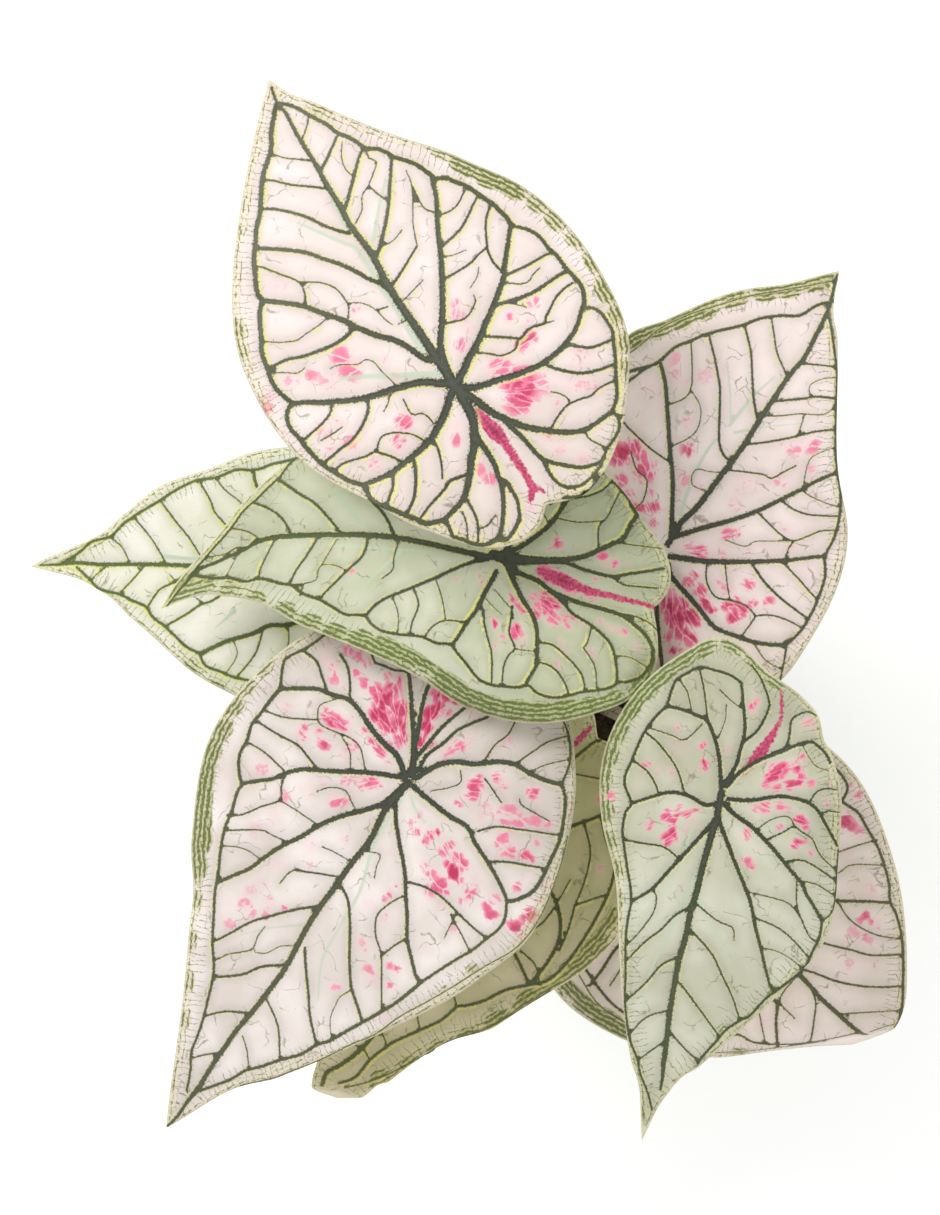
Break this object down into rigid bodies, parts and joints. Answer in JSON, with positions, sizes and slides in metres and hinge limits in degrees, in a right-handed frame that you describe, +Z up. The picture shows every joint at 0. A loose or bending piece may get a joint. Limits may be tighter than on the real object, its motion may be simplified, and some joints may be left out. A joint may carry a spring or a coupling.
{
  "type": "potted caladium plant",
  "caption": "Caladium house plant: heart-shaped pale leaves with dark green veins and pink blotches, on arching stalks out of the soil of a plain tapered pot.",
  "frame": {"origin": "centre of the pot's flat underside", "axes": "+Z up along the pot's axis; seen from above +X points to the right and +Y away from the viewer, towards the highest leaf"},
  "size_m": [0.374, 0.444, 0.338],
  "materials": {
    "pot": "matte black moulded",
    "soil": "damp crumbly potting soil",
    "stalk": "smooth skin with dark speckles",
    "blade_pink_white": "satin leaf skin, pinkish white with dark green veins",
    "blade_pale_green": "satin leaf skin, pale green with dark green veins",
    "blade_cream": "satin leaf skin, cream with green veins"
  },
  "bodies": {
    "root": {"pot": "pot", "soil": "soil", "stalk_upper": "stalk", "blade_upper": "blade_pink_white", "stalk_right": "stalk", "blade_right": "blade_pink_white", "stalk_left": "stalk", "blade_left": "blade_cream", "stalk_middle": "stalk", "blade_middle": "blade_pale_green", "stalk_lower_left": "stalk", "blade_lower_left": "blade_pink_white", "stalk_lower_right": "stalk", "blade_lower_right": "blade_pale_green", "stalk_back_left": "stalk", "blade_back_left": "blade_cream", "stalk_back_right": "stalk", "blade_back_right": "blade_pink_white"}
  },
  "joints": []
}
